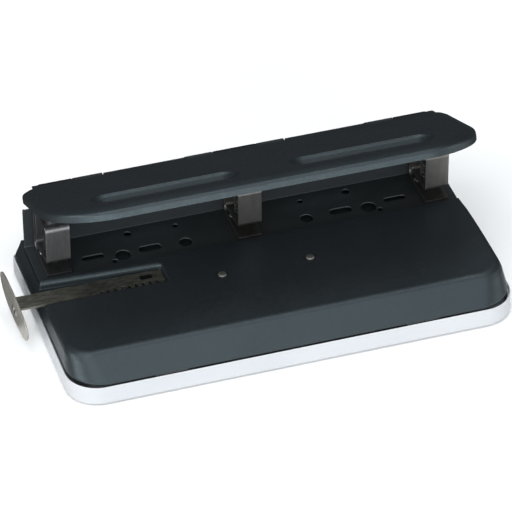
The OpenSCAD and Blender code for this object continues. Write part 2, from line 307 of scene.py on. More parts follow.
def fillet(P, radii, n=6):
    """Rounds the corners of a closed outline."""
    out = []
    P = [np.array(p, float) for p in P]
    m = len(P)
    for i in range(m):
        r = radii[i] if hasattr(radii, "__len__") else radii
        a, b, c = P[i - 1], P[i], P[(i + 1) % m]
        u = (a - b) / np.linalg.norm(a - b)
        v = (c - b) / np.linalg.norm(c - b)
        if r <= 0:
            out.append(tuple(b))
            continue
        half = math.acos(max(-1, min(1, float(u @ v)))) / 2
        t = r / math.tan(half)
        mid = (u + v) / np.linalg.norm(u + v)
        cen = b + mid * r / math.sin(half)
        p0, p1 = b + u * t - cen, b + v * t - cen
        a0, a1 = math.atan2(p0[1], p0[0]), math.atan2(p1[1], p1[0])
        d = (a1 - a0 + math.pi) % (2 * math.pi) - math.pi
        out += [(cen[0] + r * math.cos(a0 + d * k / n), cen[1] + r * math.sin(a0 + d * k / n)) for k in range(n + 1)]
    return out


def chaikin(P, closed=True, times=2):
    P = np.asarray(P, float)
    for _ in range(times):
        Q = np.roll(P, -1, 0)
        out = np.empty((2 * len(P), 2))
        out[0::2] = 0.75 * P + 0.25 * Q
        out[1::2] = 0.25 * P + 0.75 * Q
        P = out
    return [tuple(p) for p in P]


def circle(cx, cy, r, n=40):
    return [(cx + r * math.cos(2 * math.pi * i / n), cy + r * math.sin(2 * math.pi * i / n)) for i in range(n)]


def pill(x0, x1, cy, r, n=12):
    return arc(x1, cy, r, -90, 90, n) + arc(x0, cy, r, 90, 270, n)


# bent strip, as in the CAD: way points [y, z, bend radius] along the middle of the sheet
def unit(v):
    return v / np.linalg.norm(v)


def rot2(v, a):
    c, s = math.cos(a), math.sin(a)
    return np.array([v[0] * c - v[1] * s, v[0] * s + v[1] * c])


def way(W, n=12):
    W = [np.array(w, float) for w in W]
    C = [W[0][:2]]
    for i in range(1, len(W) - 1):
        a, b, c, r = W[i - 1][:2], W[i][:2], W[i + 1][:2], W[i][2]
        u, v = unit(b - a), unit(c - b)
        t = math.atan2(u[0] * v[1] - u[1] * v[0], float(u @ v))
        s = 1 if t > 0 else -1
        lu = np.array([-u[1], u[0]])
        q = b - u * (r * math.tan(abs(t) / 2)) + lu * s * r
        C += [q + rot2(lu * (-s * r), t * k / n) for k in range(n + 1)]
    C.append(W[-1][:2])
    return C


def side(C, d):
    out = []
    for i in range(len(C)):
        a = unit(C[1] - C[0]) if i == 0 else unit(C[i] - C[i - 1])
        b = a if i == len(C) - 1 else unit(C[i + 1] - C[i])
        m = unit(a + b)
        out.append(C[i] + np.array([-m[1], m[0]]) * d / float(m @ a))
    return out


def strip(W, t, n=12):
    C = way(W, n)
    P = [tuple(p) for p in side(C, -t / 2)] + [tuple(p) for p in reversed(side(C, t / 2))]
    A = sum(P[i][0] * P[(i + 1) % len(P)][1] - P[(i + 1) % len(P)][0] * P[i][1] for i in range(len(P)))
    return P if A > 0 else P[::-1]


# ------------------------------------------------------------------ materials


class Mat:
    def __init__(self, name):
        self.m = bpy.data.materials.new(name)
        self.m.use_nodes = True
        self.t = self.m.node_tree
        self.b = self.t.nodes["Principled BSDF"]
        self.co = self.t.nodes.new("ShaderNodeTexCoord").outputs["Object"]

    def set(self, **kw):
        for k, v in kw.items():
            self.b.inputs[k.replace("_", " ")].default_value = v
        return self

    def noise(self, scale, detail=2.0, rough=0.5, stretch=None, distort=0.0):
        co = self.co
        if stretch:
            mp = self.t.nodes.new("ShaderNodeMapping")
            mp.inputs["Scale"].default_value = stretch
            self.t.links.new(co, mp.inputs["Vector"])
            co = mp.outputs["Vector"]
        n = self.t.nodes.new("ShaderNodeTexNoise")
        n.inputs["Scale"].default_value = scale
        n.inputs["Detail"].default_value = detail
        n.inputs["Roughness"].default_value = rough
        n.inputs["Distortion"].default_value = distort
        self.t.links.new(co, n.inputs["Vector"])
        return n.outputs["Fac"]

    def ramp(self, fac, stops):
        r = self.t.nodes.new("ShaderNodeValToRGB")
        e = r.color_ramp.elements
        while len(e) < len(stops):
            e.new(0.5)
        for i, (p, c) in enumerate(stops):
            e[i].position = p
            e[i].color = (*c, 1) if hasattr(c, "__len__") else (c, c, c, 1)
        self.t.links.new(fac, r.inputs["Fac"])
        return r.outputs["Color"]

    def to(self, out, socket):
        self.t.links.new(out, self.b.inputs[socket])
        return self

    def bump(self, *layers):
        """layers: (fac, distance in mm, strength)"""
        prev = None
        for fac, d, s in layers:
            bp = self.t.nodes.new("ShaderNodeBump")
            bp.inputs["Distance"].default_value = d * 0.001
            bp.inputs["Strength"].default_value = s
            self.t.links.new(fac, bp.inputs["Height"])
            if prev is not None:
                self.t.links.new(prev, bp.inputs["Normal"])
            prev = bp.outputs["Normal"]
        self.t.links.new(prev, self.b.inputs["Normal"])
        return self


def enamel(name, a, b, rough):
    m = Mat(name)
    big = m.noise(28, 3)
    grain = m.noise(620, 1.0, 0.45)
    fine = m.noise(1500, 2.0)
    m.set(Metallic=0.0, Specular_IOR_Level=0.5, Specular_Tint=(0.74, 0.93, 1.0, 1))
    m.to(m.ramp(big, [(0.3, a), (0.7, b)]), "Base Color")
    m.to(m.ramp(grain, [(0.3, rough - 0.05), (0.7, rough + 0.05)]), "Roughness")
    m.bump((grain, 0.10, 0.42), (fine, 0.03, 0.35))
    return m.m


def metal(name, a, b, rough, spread=0.08, streak=None, bump=0.02, metallic=1.0, scale=300):
    m = Mat(name)
    tone = m.noise(scale, 4, 0.6, streak)
    fine = m.noise(1800, 3, 0.6, streak)
    m.set(Metallic=metallic)
    m.to(m.ramp(tone, [(0.32, a), (0.68, b)]), "Base Color")
    m.to(m.ramp(fine, [(0.3, rough - spread), (0.7, rough + spread)]), "Roughness")
    m.bump((fine, bump, 0.5))
    return m.m


M_ENAMEL = enamel("black_enamel", (0.0095, 0.0116, 0.0132), (0.0122, 0.0145, 0.0165), 0.41)
# The rail takes a lighter copy of the cover's black enamel: painted light, brightening the rail where it lies in the
# lever's shade.
M_RAIL_PAINTED_LIGHT = enamel("black_enamel_rail_painted_light", (0.0165, 0.0180, 0.0192), (0.0195, 0.0212, 0.0225), 0.50)
M_HEAD = metal("satin_nickel", (0.125, 0.122, 0.116), (0.168, 0.163, 0.155), 0.44, 0.06, (1, 1, 0.12))
M_HEAD_L = metal("satin_nickel_cool", (0.125, 0.125, 0.128), (0.168, 0.168, 0.172), 0.44, 0.06, (1, 1, 0.12))
M_TOOL = metal("ground_steel", (0.42, 0.42, 0.42), (0.55, 0.55, 0.55), 0.26, 0.06, (0.15, 0.15, 1))
M_SPRING = metal("oiled_spring_steel", (0.22, 0.22, 0.23), (0.34, 0.34, 0.35), 0.32)
M_DARK = metal("blackened_steel", (0.03, 0.03, 0.032), (0.05, 0.05, 0.052), 0.42)
M_ZINC = metal("zinc_plate", (0.40, 0.40, 0.39), (0.55, 0.55, 0.53), 0.34)
M_RIVET = metal("rivet_steel", (0.11, 0.107, 0.097), (0.17, 0.165, 0.15), 0.48, metallic=0.75)
M_RULE = metal("dull_rule_steel", (0.16, 0.156, 0.132), (0.36, 0.35, 0.30), 0.46, 0.08, (0.35, 1, 1), 0.03, scale=520)
M_STOP = metal("satin_stop_steel", (0.215, 0.205, 0.182), (0.305, 0.293, 0.265), 0.36, 0.07, (1, 0.2, 1), metallic=0.35)


def plastic_tray():
    m = Mat("tray_plastic")
    big = m.noise(16, 2)
    fine = m.noise(900, 2)
    m.set(Metallic=0.0, Specular_IOR_Level=0.45)
    m.to(m.ramp(big, [(0.3, (0.410, 0.424, 0.440)), (0.7, (0.444, 0.456, 0.472))]), "Base Color")
    m.to(m.ramp(fine, [(0.3, 0.34), (0.7, 0.44)]), "Roughness")
    m.bump((fine, 0.012, 0.3))
    return m.m


def rubber():
    m = Mat("black_rubber")
    fine = m.noise(1400, 3)
    m.set(Metallic=0.0)
    m.to(m.ramp(fine, [(0.3, (0.018, 0.018, 0.018)), (0.7, (0.03, 0.03, 0.03))]), "Base Color")
    m.to(m.ramp(fine, [(0.3, 0.68), (0.7, 0.85)]), "Roughness")
    m.bump((fine, 0.04, 0.5))
    return m.m


M_TRAY = plastic_tray()
M_RUBBER = rubber()

# ------------------------------------------------------------------ cover


STEP = [(-12.0, TOP), (-3.0, TOP), (-2.6, TOP - 0.05), (-2.3, TOP - 0.25), (-2.1, TOP - 0.7), (-2.0, TOP - 1.6), (-1.9, -1.2), (-1.8, -1.6), (-1.6, -1.8)]
STEP_Y = [p[0] for p in STEP]


def step_z(y):
    """Height of the plateau, which falls away softly to the shelf behind it."""
    return float(np.interp(y, STEP_Y, [p[1] for p in STEP]))


TR_D = [(-1.95, TOP), (-1.55, TOP - 0.05), (-1.15, TOP - 0.18), (-0.75, TOP - 0.4), (-0.4, TOP - 0.68), (-0.1, TOP - 1.0), (0.12, TOP - 1.32), (0.3, TOP - 1.75),
        (0.42, TOP - 2.3), (0.5, TOP - 3.0), (0.56, -1.9), (0.66, -2.35), (0.95, -2.8)]
TR_F, TR_X = -24.4, -53.6          # front line and right end of the trough
RK = (-8.4 + 4.0) / (-54.6 + 140)  # slope of its oblique rear line


def rear_line(x):
    return -4.0 + RK * (x + 140)


def lowered(z, y):
    """Height z of the trough's side where the plateau beside it has fallen away."""
    return z - (TOP - max(step_z(y), 0.9)) * max(0.0, z + 2.8) / (TOP + 2.8)


def trough_z(x, y):
    f, e = y - TR_F, TR_X - x
    d = min(f / 0.2 if f < 0 else f, (rear_line(x) - y) / math.hypot(1, RK), e / 0.5 if e < 0 else e)
    if d <= TR_D[0][0]:
        return 99.0
    return lowered(float(np.interp(d, [p[0] for p in TR_D], [p[1] for p in TR_D])), y)


R_F, R_S = 7.0, 3.6   # rounding of the plateau's front and side edges
SLOPE = math.atan2(10.8, 14.5)


def front_off(z):
    T = R_F * math.tan(SLOPE / 2)
    zt = TOP - R_F * (1 - math.cos(SLOPE))
    if z >= zt:
        a = math.acos(max(-1, min(1, 1 - (TOP - z) / R_F)))
        return 14.5 + T - R_F * math.sin(a)
    if z > -9.0:
        return (z + 9.0) / 10.8 * 14.5
    # below the slope the lip stands straight down, without rounding
    return 0.0


LEAN = math.radians(78)
CX = 123.8             # half width of the cover at its foot


def drawn_in(x, y, z):
    """The side leans further in towards the rear shelf."""
    top = CX - 4.6
    b = float(np.interp(y, [-86, -42, -30, -20, -12, -8, -3, 40], [0, 0, 0.05, 0.14, 0.25, 0.4, 0.62, 0.65]))
    b *= min(1.0, max(0.0, (z + 8.0) / 6.2))
    if abs(x) <= top:
        return x
    return math.copysign(top + (abs(x) - top) * (1 - b), x)


def side_off(z):
    # a leaning wall tangent to the arc at the top
    zt = TOP - R_S * (1 - math.cos(LEAN))
    xe = 4.6
    if z >= zt:
        a = math.acos(max(-1, min(1, 1 - (TOP - z) / R_S)))
        return xe - R_S * math.sin(a)
    xt = xe - R_S * math.sin(LEAN)
    return max(0.0, xt - (zt - z) / math.tan(LEAN) * 0.62)


def cover():
    zs = [BOT, -9.5, -9.0, -8.4, -7.2, -5.6, -4.0, -2.8, -1.8, -1.2]
    a_f = [math.degrees(SLOPE) * k / 9 for k in range(9, -1, -1)]
    zs = [z for z in zs if z < TOP - R_F * (1 - math.cos(SLOPE)) - 0.1] + [-1.2 * 0 + TOP - R_F * (1 - math.cos(SLOPE))] + [TOP - R_F * (1 - math.cos(math.radians(a))) for a in a_f[1:]]
    zs = sorted(set(round(z, 4) for z in zs))
    yl = set()
    for y in STEP_Y:
        yl.add(y)
    xb = -(CX - 4.6)
    trough_rows = [TR_F + d * (0.2 if d < 0 else 1) for d, _ in TR_D] + [rear_line(xb) - d * math.hypot(1, RK) for d, _ in TR_D]
    yl |= set(trough_rows)
    yl |= {-48, -40, -32, -28, -20, -17, -14, 2, 8, 14, 20, 26}
    yl = {y for y in yl if not -12.5 < y < -3.95 or any(abs(y - q) < 1e-6 for q in trough_rows)}
    yl = sorted(yl)
    yr = sorted(set(STEP_Y) | {-48, -40, -32, -24, -16, 2, 8, 14, 20, 26})
    rings = []
    for z in zs:
        fo, so = front_off(z), side_off(z)
        ro = so * 0.6
        X, y0, y1 = CX - so, -85.7 + fo, 39.4 - ro
        t = (z - BOT) / (TOP - BOT)
        rf, rr = 20.0 - 7.5 * t, 4.0 - 1.0 * t
        pts = []
        for k in range(1, 40):
            pts.append((-X + rf + (2 * X - 2 * rf) * k / 40, y0))
        pts += arc(X - rf, y0 + rf, rf, -90, 0, 20)
        pts += [(X, y) for y in yr]
        pts += arc(X - rr, y1 - rr, rr, 0, 90, 10)
        for k in range(1, 24):
            pts.append((X - rr - (2 * X - 2 * rr) * k / 24, y1))
        pts += arc(-X + rr, y1 - rr, rr, 90, 180, 10)
        pts += [(-X, y) for y in reversed(yl)]
        pts += arc(-X + rf, y0 + rf, rf, 180, 270, 20)
        rings.append([(drawn_in(x, y, z), y) for x, y in pts])
    n = len(rings[0])
    V, F = [], []
    for z, pts in zip(zs, rings):
        for x, y in pts:
            zz = min(z, step_z(y))
            if x < 0:
                zz = min(zz, trough_z(x, y))
            V.append((x, y, zz))
    for k in range(len(rings) - 1):
        for i in range(n):
            j = (i + 1) % n
            F.append([k * n + i, k * n + j, (k + 1) * n + j, (k + 1) * n + i])
    base = (len(rings) - 1) * n
    P = [tuple(p) for p in rings[-1]]
    Z = [V[base + i][2] for i in range(n)]
    key = {(round(p[0], 4), round(p[1], 4)): i for i, p in enumerate(P)}

    def add(x, y, z):
        k = (round(x, 4), round(y, 4))
        if k not in key:
            key[k] = len(P)
            P.append((x, y))
            Z.append(z)
        return key[k]

    X = CX - 4.6
    outer = list(range(n))
    loops, lines, holes = [outer], [], []
    for y in STEP_Y:
        x0 = -X if y > -3.95 else -51.0
        lines.append([add(x0 + (X - x0) * k / 60, y, step_z(y)) for k in range(61)])
    r0 = 3.0
    for d, z in TR_D:
        r = r0 - 0.35 * d if d < 0 else max(r0 - d, 0.5)
        xe, yf = TR_X - d * (0.5 if d < 0 else 1), TR_F + d * (0.2 if d < 0 else 1)
        fr = [(-X + (xe - r + X) * k / 26, yf) for k in range(27)]
        c1 = arc(xe - r, yf + r, r, -90, 0, 8)
        # rear corner between the right end and the oblique rear line
        ang = math.degrees(math.atan(RK))
        h = math.hypot(1, RK)
        cx = xe - r
        cy = rear_line(cx) - (d + r) * h
        c2 = arc(cx, cy, r, 0, 90 + ang, 8)
        x_s = c2[-1][0]
        re = [(x_s + (-X - x_s) * k / 26, rear_line(x_s + (-X - x_s) * k / 26) - d * h) for k in range(1, 27)]
        line = [add(x, y, lowered(z, y)) for x, y in fr + c1[1:] + c2 + re]
        line = [line[0]] + [b for a, b in zip(line, line[1:]) if b != a]
        lines.append(line)
    # a soft swage under each rivet
    for s in (-1, 1):
        for r, dz in ((2.3, -0.30), (2.9, -0.34), (3.5, -0.26), (4.1, -0.12), (4.7, -0.03), (5.3, 0.0)):
            loops.append([add(s * 24.9 + r * math.cos(2 * math.pi * i / 32), -28 + r * math.sin(2 * math.pi * i / 32), TOP + dz) for i in range(32)])
        add(s * 24.9, -28, TOP - 0.30)
    # openings for the chips under the dies
    for k in (-1, 0, 1):
        L = [add(k * PITCH + 5 * math.cos(2 * math.pi * i / 24), PIN_Y + 5 * math.sin(2 * math.pi * i / 24), -1.8) for i in range(24)]
        loops.append(L)
        holes.append(L)
    # slot for the guide key
    L = [add(x, y, -2.8) for x, y in fillet([(-118, -15.1), (-58.5, -15.1), (-58.5, -11.9), (-118, -11.9)], 1.2, 4)]
    loops.append(L)
    holes.append(L)
    # the flat faces are triangulated between the outline, the lines and the loops
    T = triangulate(P, loops, holes, outer, lines)
    loc = {i: base + i for i in range(n)}
    for i in range(n, len(P)):
        loc[i] = len(V)
        V.append((P[i][0], P[i][1], Z[i]))
    F += [[loc[i] for i in t] for t in T]
    return thicken(np.array(V), F, 1.0)


put("cover_shell", *cover(), M_ENAMEL, "base", "black_enamel", ["base_cover"], angle=60)

# ------------------------------------------------------------------ chip tray


def tray():
    prof = [(1.5, -22.0), (0.85, -21.9), (0.3, -21.5), (0.04, -20.9), (0.0, -20.2), (0.0, -12.0), (0.03, -11.2), (0.12, -10.86), (0.28, -10.66),
            (0.45, -10.6), (0.6, -10.66), (0.72, -10.86), (0.78, -11.2), (0.8, -12.6), (0.95, -12.75), (1.6, -12.8), (1.6, -19.6), (1.75, -20.05), (2.1, -20.3), (2.6, -20.4)]
    V, F = [], []
    for i, z in prof:
        X, y0, y1 = 125.0 - i, -86.8 + i, 40.0 - i
        rf, rr = max(18.3 - i, 1), max(3.6 - i, 0.6)
        pts = [(-X + rf + (2 * X - 2 * rf) * k / 12, y0) for k in range(1, 12)]
        pts += arc(X - rf, y0 + rf, rf, -90, 0, 20) + arc(X - rr, y1 - rr, rr, 0, 90, 12)
        pts += arc(-X + rr, y1 - rr, rr, 90, 180, 12) + arc(-X + rf, y0 + rf, rf, 180, 270, 20)
        V += [(x, y, z) for x, y in pts]
    n = len(pts)
    for k in range(len(prof) - 1):
        for i in range(n):
            j = (i + 1) % n
            F.append([k * n + i, k * n + j, (k + 1) * n + j, (k + 1) * n + i])
    F.append(list(range(n))[::-1])
    F.append([(len(prof) - 1) * n + i for i in range(n)])
    ribs = [moved(slab3(fillet([(-1, -78), (1, -78), (1, 30), (-1, 30)], 0.9, 4), -20.8, -19.1, 0.5), (x, 0, 0)) for x in (-90, -45, 45, 90)]
    return merge((V, F), *ribs)


put("chip_tray_body", *tray(), M_TRAY, "chip_tray", "tray", ["base_tray"], angle=50)


def feet():
    prof = [(0.01, -23.0), (5.9, -23.0), (6.5, -22.9), (6.85, -22.6), (6.9, -22.2), (6.9, -21.5), (0.01, -21.5)]
    one = revolve(prof, 40)
    at = [(x, y, 0) for x in (-106, 106) for y in (-71, 27)] + [(0, -23.2, 0)]
    return merge(*[moved(one, p) for p in at])


put("feet", *feet(), M_RUBBER, "chip_tray", "rubber", ["rubber_feet"])

# ------------------------------------------------------------------ rail


def rail():
    C = way([[-1.5, -0.9], [30.85, -0.9, 1.15], [30.85, 25.2]], 8)
    C = np.array(C)
    S = np.concatenate([[0], np.cumsum(np.linalg.norm(np.diff(C, axis=0), axis=1))])
    N = []
    for i in range(len(C)):
        a = unit(C[min(i + 1, len(C) - 1)] - C[max(i - 1, 0)])
        N.append((-a[1], a[0]))
    N = np.array(N)
    t = 1.7

    def place(x, u, drop):
        y = np.interp(u, S, C[:, 0])
        z = np.interp(u, S, C[:, 1])
        ny = np.interp(u, S, N[:, 0])
        nz = np.interp(u, S, N[:, 1])
        q = t / 2 - drop
        return (x, y + ny * q, z + nz * q)

    u0 = -1.5
    P, D, key = [], [], {}

    def add(x, u, drop=0.0):
        k = (round(x, 4), round(u, 4))
        if k not in key:
            key[k] = len(P)
            P.append((x, u))
            D.append(drop)
        return key[k]

    W, L = 120.0, float(S[-1])
    sides = [0.0, 0.12, 0.35] + [s for s in S[1:-1]] + [L - 0.6, L - 0.2, L]
    sides = sorted(set(round(float(s), 4) for s in sides))
    edge = 0.45
    out = []
    xs = [-W + 2 * W * k / 60 for k in range(61)]
    for x in xs:
        out.append(add(x, 0.0, edge))
    for s in sides[1:-1]:
        out.append(add(W, s, edge))
    for x in reversed(xs):
        out.append(add(x, L, edge))
    for s in reversed(sides[1:-1]):
        out.append(add(-W, s, edge))
    loops, lines, holes = [out], [], []
    # rounding of the sheet's edges: inset rows
    for ins, dr in ((0.14, 0.2), (0.45, 0.0)):
        row = [add(-W + ins + (2 * W - 2 * ins) * k / 60, ins, dr) for k in range(61)]
        row += [add(W - ins, s, dr) for s in sides if ins < s < L - ins]
        row += [add(W - ins - (2 * W - 2 * ins) * k / 60, L - ins, dr) for k in range(61)]
        row += [add(-W + ins, s, dr) for s in reversed(sides) if ins < s < L - ins]
        loops.append(row)
    for s in S[1:-1]:
        lines.append([add(-W, s, edge), add(-W + 0.14, s, 0.2)] + [add(-W + 0.45 + (2 * W - 0.9) * k / 40, s, 0.0) for k in range(41)] + [add(W - 0.14, s, 0.2), add(W, s, edge)])

    def hole(pts):
        A = sum(pts[i][0] * pts[(i + 1) % len(pts)][1] - pts[(i + 1) % len(pts)][0] * pts[i][1] for i in range(len(pts)))
        pts = pts if A > 0 else pts[::-1]
        for off, dr in ((0.0, 0.6), (0.12, 0.28), (0.34, 0.08), (0.6, 0.0)):
            Q = offset(pts, -off)
            R = [add(x, y - u0, dr) for x, y in Q]
            loops.append(R)
            if off == 0.0:
                holes.append(R)

    for s in (-1, 1):
        hole([(s * x, y) for x, y in pill(82.2, 91.2, 10.5, 1.7)])
        hole([(s * x, y) for x, y in pill(51, 58.6, 8.9, 2.5)])
        hole(circle(s * 76, 3.4, 1.5, 28))
        hole(circle(s * 70.5, 7.3, 4.2, 40))
        hole(circle(s * 36, 23.8, 1.4, 28))
        hole(circle(s * 34.7, 8, 3.5, 36))
        hole(circle(s * 63, 24.6, 2.0, 32))
    for k in (-1, 0, 1):
        hole(circle(k * PITCH, PIN_Y, 4.4, 32))
    T = triangulate(P, loops, holes, out, lines)
    V = [place(x, u, d) for (x, u), d in zip(P, D)]
    F = [list(t) for t in T]
    # flip so that the faces look up and forward
    V = np.array(V)
    f = F[0]
    nrm = np.cross(V[f[1]] - V[f[0]], V[f[2]] - V[f[0]])
    part = thicken(V, F if nrm[2] > 0 or nrm[1] < 0 else [list(reversed(q)) for q in F], 1.25)
    # curled rail knuckles on tabs
    c = [(3.6, -14.0)] + arc(0, 0, 3.6, 0, 300, 40) + arc(0, 0, 2.04, 300, 0, 32) + [(1.9, -14.0)]
    c = [(y + HY, z + HZ) for y, z in c]
    A = sum(c[i][0] * c[(i + 1) % len(c)][1] - c[(i + 1) % len(c)][0] * c[i][1] for i in range(len(c)))
    c = c if A > 0 else c[::-1]
    kn = [slab3(c, a, b, 0.22, axis="x") for a, b in ((12.7, 28.2), (75, 91.5))]
    kn += [mirrored(k) for k in kn]
    return merge(part, *kn)


put("rail", *rail(), M_RAIL_PAINTED_LIGHT, "base", "black_enamel", ["rear_rail"], angle=48)

# ------------------------------------------------------------------ punch heads

HEAD_WAY = [[0, .9], [28, .9, 4.5], [28, 31.1, 3.2], [1.9, 31.1, 2.6], [1.9, 8.6, 1.7], [24, 6.5, 2.6], [24, 29.2]]
SIDES = (("left", -1), ("middle", 0), ("right", 1))
head_prof = strip(HEAD_WAY, 1.8, 12)
for nm, k in SIDES:
    o = put(nm + "_head", *moved(slab3(head_prof, -6.8, 6.8, 0.28, axis="x"), (k * PITCH, 0, 0)),
            M_HEAD_L if k < 0 else M_HEAD, "base", "head_steel", [nm + "_head_bracket"], angle=40)
    cut(o, moved(revolve([(3.66, -1), (3.66, 4)], 48), (k * PITCH, PIN_Y, 0)))
    cut(o, moved(revolve([(3.63, 4), (3.63, 36)], 48), (k * PITCH, PIN_Y, 0)))


def pin():
    prof = [(0.01, 6.9), (3.3, 6.9), (3.52, 7.05), (3.55, 7.3), (3.55, 28.2), (3.5, 28.33), (2.85, 28.36), (2.8, 28.4), (2.8, 29.6), (2.85, 29.64), (3.5, 29.67),
            (3.55, 29.8), (3.55, 36.9), (3.45, 37.2), (2.9, 37.75), (2.6, 37.9), (0.01, 37.9)]
    return revolve(prof, 48)


def notch_tool():
    s = 1.3
    P = [(-s, 0), (0, -s), (s, 0), (0, s)]
    return slab3(P, -6, 6, 0.001, axis="x", steps=1)


def spring():
    n, m = 7 * 36, 12
    rc, rw = 4.6, 0.5
    V, F = [], []

    def z(u):
        g = u * 0.5 if u < 0.12 else (1 - (1 - u) * 0.5 if u > 0.88 else 0.06 + (u - 0.12) * 0.88 / 0.76)
        return 9.7 + 18.0 * g

    for i in range(n + 1):
        a = 2 * math.pi * i / 36
        taper = min(1.0, 0.55 + 0.45 * min(i, n - i) / 3)
        for j in range(m):
            f = 2 * math.pi * j / m
            rr = rc + rw * taper * math.cos(f)
            V.append((rr * math.cos(a), rr * math.sin(a), z(i / n) + rw * taper * math.sin(f)))
    for i in range(n):
        for j in range(m):
            q = (j + 1) % m
            F.append([i * m + j, (i + 1) * m + j, (i + 1) * m + q, i * m + q])
    F.append(list(range(m)))
    F.append([n * m + j for j in range(m)][::-1])
    return V, F


def clip():
    a = 62
    P = arc(0, 0, 5.2, 90 + a / 2, 450 - a / 2, 44) + arc(0, 0, 2.86, 450 - a / 2 - 16, 90 + a / 2 + 16, 34)
    return slab3(P, 28.45, 29.55, 0.2)


for nm, k in SIDES:
    at = (k * PITCH, PIN_Y, 0)
    o = put(nm + "_pin", *moved(pin(), at), M_TOOL, nm + "_punch", "tool_steel", [nm + "_punch_pin"])
    cut(o, moved(notch_tool(), (k * PITCH, PIN_Y, 6.9)))
    put(nm + "_clip", *moved(clip(), at), M_DARK, nm + "_punch", "dark_steel", [nm + "_pin_clip"])
    s = put(nm + "_spring", *moved(spring(), at), M_SPRING, "base", "spring_steel", [nm + "_return_spring"], weighted=False)
    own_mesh(s)


def head_rivets():
    top = revolve([(0.01, 2.5), (0.8, 2.48), (1.45, 2.36), (1.9, 2.12), (2.15, 1.83), (2.15, 1.80), (0.01, 1.80)], 32)
    low = revolve([(0.01, -2.86), (2.2, -2.86), (2.2, -3.2), (1.9, -3.5), (0.01, -3.5)], 32)
    one = merge(top, low, revolve([(0.01, -3.0), (1.38, -3.0), (1.38, 1.9), (0.01, 1.9)], 24))
    return merge(*[moved(one, (k * PITCH + s * 3.9, 20.6, 0)) for k in (-1, 0, 1) for s in (-1, 1)])


put("head_rivet_set", *head_rivets(), M_ZINC, "base", "zinc", ["head_rivets"])

# ------------------------------------------------------------------ lever

LT, LD, LW, LR = 3.6, -82.9, 121.7, 36.0


def lever():
    # straight flange, a tight bend, then a gentle fall from the flat top
    rings = [(0.0, -3.4), (0.0, -2.7), (0.0, -0.6), (0.03, -0.1), (0.14, 0.35), (0.34, 0.75), (0.65, 1.1), (1.05, 1.4), (1.6, 1.7), (2.3, 2.05),
             (3.1, 2.45), (4.0, 2.85), (5.0, 3.22), (5.8, 3.46), (6.6, LT)]
    rr = 7.2
    V, F, rows = [], [], []
    for ins, z in rings:
        W, y0 = LW - ins, LD + ins
        R, r = LR - ins, rr - ins
        pts = arc(-LW + rr, -0.9 - rr, r, 90, 180, 10)
        yb = -0.9 - rr
        pts += [(-W, yb + (y0 + R - yb) * k / 10) for k in range(1, 10)]
        pts += arc(-W + R, y0 + R, R, 180, 270, 36)
        pts += [(-W + R + (2 * W - 2 * R) * k / 48, y0) for k in range(1, 48)]
        pts += arc(W - R, y0 + R, R, 270, 360, 36)
        pts += [(W, y0 + R + (yb - y0 - R) * k / 10) for k in range(1, 10)]
        pts += arc(LW - rr, -0.9 - rr, r, 0, 90, 10)
        rows.append(pts)
        V += [(x, y, z) for x, y in pts]
    n = len(rows[0])
    for k in range(len(rows) - 1):
        for i in range(n - 1):
            F.append([k * n + i, k * n + i + 1, (k + 1) * n + i + 1, (k + 1) * n + i])
    base = (len(rows) - 1) * n
    P = [tuple(p) for p in rows[-1]]
    Z = [LT] * n
    key = {(round(p[0], 4), round(p[1], 4)): i for i, p in enumerate(P)}

    def add(x, y, z=LT):
        k = (round(x, 4), round(y, 4))
        if k not in key:
            key[k] = len(P)
            P.append((x, y))
            Z.append(z)
        return key[k]

    # rear edge from right to left, with room for the rail's knuckles
    re = [(114.5, -0.9), (92.2, -0.9), (91.9, -1.2), (91.9, -4.0), (91.5, -4.4), (75.0, -4.4), (74.6, -4.0), (74.6, -1.2), (74.3, -0.9),
          (28.9, -0.9), (28.6, -1.2), (28.6, -4.0), (28.2, -4.4), (12.7, -4.4), (12.3, -4.0), (12.3, -1.2), (12.0, -0.9)]
    full = re + [(-x, y) for x, y in reversed(re)]
    outer = list(range(n)) + [add(x, y) for x, y in full]
    loops, lines = [outer], []
    cy, hw = -61.5, 10.0
    for s in (-1, 1):
        for e in (0.0, 0.15, 0.32, 0.55, 0.8, 1.1, 1.45, 1.85, 2.3, 2.8, 3.4, 4.0, 4.6, 5.2, 6.0, 7.0, 8.2):
            r = hw - e
            L = []
            for x, y in pill(23.5, 86.5, cy, r, 16) if r > 0 else []:
                L.append((x, y))
            # long sides need more points
            M = []
            for (xa, ya), (xb, yb) in zip(L, L[1:] + L[:1]):
                M.append((xa, ya))
                if abs(xb - xa) > 20:
                    M += [(xa + (xb - xa) * q / 20, ya + (yb - ya) * q / 20) for q in range(1, 20)]
            ids = [add(s * x, y, LT - groove_depth(x, y, e, cy, hw)) for x, y in M]
            loops.append(ids)
        lines.append([add(s * (23.5 + 3.15 * q), cy, LT - groove_depth(23.5 + 3.15 * q, cy, hw, cy, hw)) for q in range(21)])
    T = triangulate(P, loops, [], outer, lines)
    loc = {i: base + i for i in range(n)}
    for i in range(n, len(P)):
        loc[i] = len(V)
        V.append((P[i][0], P[i][1], Z[i]))
    F += [[loc[i] for i in t] for t in T]
    part = thicken(np.array(V), F, 1.2)
    # curled hinge knuckles, open at the front
    c = [(-3.2, LT)] + arc(0, 0, 3.6, 90, -212, 44) + arc(0, 0, 2.4, -212, 90, 36) + [(-3.2, LT - 1.2)]
    A = sum(c[i][0] * c[(i + 1) % len(c)][1] - c[(i + 1) % len(c)][0] * c[i][1] for i in range(len(c)))
    c = c if A > 0 else c[::-1]
    kn = [slab3(c, a, b, 0.2, axis="x") for a, b in ((-110.5, -92.2), (-12, 12), (92.2, 110.5))]
    V, F = merge(part, *kn)
    return raised(V), F


def along(way, e):
    for (ea, za), (eb, zb) in zip(way, way[1:]):
        if e <= eb:
            return za + (zb - za) * (e - ea) / (eb - ea)
    return way[-1][1]


